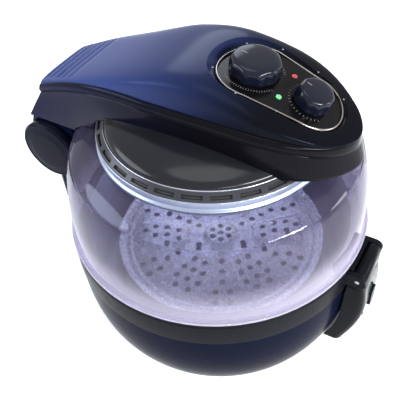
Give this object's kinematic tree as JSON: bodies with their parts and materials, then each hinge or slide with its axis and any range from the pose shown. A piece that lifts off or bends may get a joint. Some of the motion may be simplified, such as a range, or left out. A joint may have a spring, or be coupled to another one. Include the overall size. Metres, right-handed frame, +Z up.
{
  "type": "halogen oven",
  "caption": "Countertop halogen oven: round base with pot and tray, clear twist-off dome, and a hinged top with lamp, fan, timer and thermostat.",
  "frame": {"origin": "on the table, under the axis of the pot", "axes": "+Z up along the axis of the pot, front with the handle and the control nose towards -Y, hinge and column towards +Y, +X to the right of someone at the back"},
  "size_m": [0.33, 0.4125, 0.342],
  "materials": {
    "navy_enamel": "gloss",
    "navy_gloss": "gloss",
    "charcoal_plastic": "satin",
    "cap_plastic": "satin",
    "black_plastic": "matte",
    "handle_plastic": "gloss",
    "black_rubber": "matte",
    "silicone": "matte",
    "tinted_dome": "clear, tinted violet-blue",
    "bright_steel": "bright",
    "spring_steel": "satin",
    "pot_steel": "satin",
    "chrome_wire": "bright",
    "tray_metal": "satin",
    "ceramic": "matte",
    "bright_metal": "bright",
    "neck_silver": "satin",
    "trim_metal": "satin",
    "vent_black": "gloss",
    "head_gloss": "gloss",
    "quartz": "clear",
    "fan_steel": "satin",
    "motor_enamel": "satin",
    "fan_plastic": "matte",
    "panel_gloss": "gloss",
    "knob_gloss": "gloss",
    "unit_case": "matte",
    "green_lens": "clear lens",
    "red_lens": "clear lens"
  },
  "bodies": {
    "base": {"base_shell": "navy_enamel", "rim_band": "charcoal_plastic", "base_plate": "black_plastic", "feet": "black_rubber", "base_screws": "bright_steel", "pot": "pot_steel", "wire_rack": "chrome_wire", "tray": "tray_metal", "rear_column": "navy_enamel", "column_plate": "black_plastic", "cord_gland": "black_rubber", "terminal_block": "ceramic", "hinge_pin": "bright_steel", "hinge_spring": "spring_steel", "handle_bracket": "charcoal_plastic", "handle_pin": "bright_steel"},
    "handle": {"handle": "handle_plastic", "button_spring": "spring_steel"},
    "button": {"handle_button": "cap_plastic"},
    "lid": {"bayonet_collar": "bright_metal", "neck_ring": "neck_silver", "vent_ring": "vent_black", "head_shell": "head_gloss", "reflector": "bright_metal", "halogen_lamp": "quartz", "lamp_holders": "ceramic", "lamp_guard": "chrome_wire", "motor": "motor_enamel", "motor_bracket": "bright_metal", "lower_housing": "navy_gloss", "top_cover": "navy_gloss", "hinge_cap_left": "cap_plastic", "hinge_cap_right": "cap_plastic", "panel_plate": "panel_gloss", "panel_trim": "trim_metal", "timer_unit": "unit_case", "thermostat_unit": "unit_case", "green_lamp": "green_lens", "red_lamp": "red_lens", "thermal_cutout": "unit_case", "lid_switch": "black_plastic", "housing_screws": "bright_steel"},
    "dome": {"dome": "tinted_dome", "dome_seal": "silicone"},
    "fan": {"hot_air_fan": "fan_steel", "motor_shaft": "bright_steel", "cooling_fan": "fan_plastic"},
    "timer": {"timer_knob": "knob_gloss", "timer_shaft": "bright_steel"},
    "thermostat": {"thermostat_knob": "knob_gloss", "thermostat_shaft": "bright_steel"}
  },
  "joints": [
    {"name": "lid_hinge", "type": "hinge", "parent": "base", "child": "lid", "pos_m": [0, 0.188, 0.185], "axis": [-1, 0, 0], "range_deg": [0, 70]},
    {"name": "dome_bayonet", "type": "hinge", "parent": "lid", "child": "dome", "pos_m": [0, 0, 0.2], "axis": [0, 0, 1], "range_deg": [0, 60]},
    {"name": "fan_spin", "type": "hinge", "parent": "lid", "child": "fan", "pos_m": [0, 0, 0.25], "axis": [0, 0, 1], "continuous": true},
    {"name": "timer_turn", "type": "hinge", "parent": "lid", "child": "timer", "pos_m": [0, -0.04417, 0.32406], "axis": [0, 0.1491, -0.9888], "range_deg": [0, 300]},
    {"name": "thermostat_turn", "type": "hinge", "parent": "lid", "child": "thermostat", "pos_m": [0, -0.09881, 0.30839], "axis": [0, 0.3975, -0.9176], "range_deg": [0, 270]},
    {"name": "handle_swing", "type": "hinge", "parent": "base", "child": "handle", "pos_m": [0, -0.1745, 0.127], "axis": [-1, 0, 0], "range_deg": [0, 90]},
    {"name": "button_push", "type": "slide", "parent": "handle", "child": "button", "axis": [0, 1, 0], "range_m": [0, 0.003], "stiffness_N_per_m": 400, "deforming": ["button_spring"]}
  ]
}
